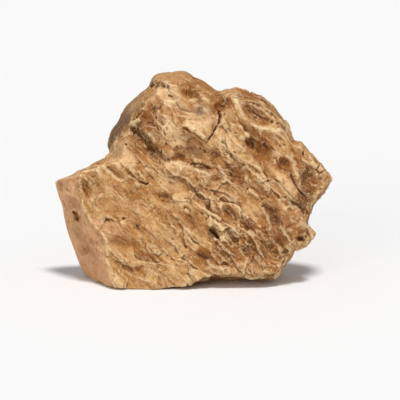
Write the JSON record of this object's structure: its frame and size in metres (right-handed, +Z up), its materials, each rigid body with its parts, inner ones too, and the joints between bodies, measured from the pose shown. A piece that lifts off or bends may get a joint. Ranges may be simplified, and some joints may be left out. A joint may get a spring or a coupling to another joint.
{
  "type": "aquarium dragon stone",
  "caption": "Weathered block of ochre claystone for an aquascape: broad pitted face with ridges and ledges, off-centre peak, scooped back, and a flat foot that it stands on.",
  "frame": {"origin": "middle of the stone's bounding box, on the floor it stands on", "axes": "+X to the right along the broad face, +Y from the face to the back, +Z up"},
  "size_m": [0.2764, 0.1246, 0.2019],
  "materials": {
    "claystone": "matte, dry weathered clay: ochre and tan with pale worn ridges, rust-brown bays and umber hollows"
  },
  "bodies": {
    "root": {"dragon_stone": "claystone"}
  },
  "joints": []
}
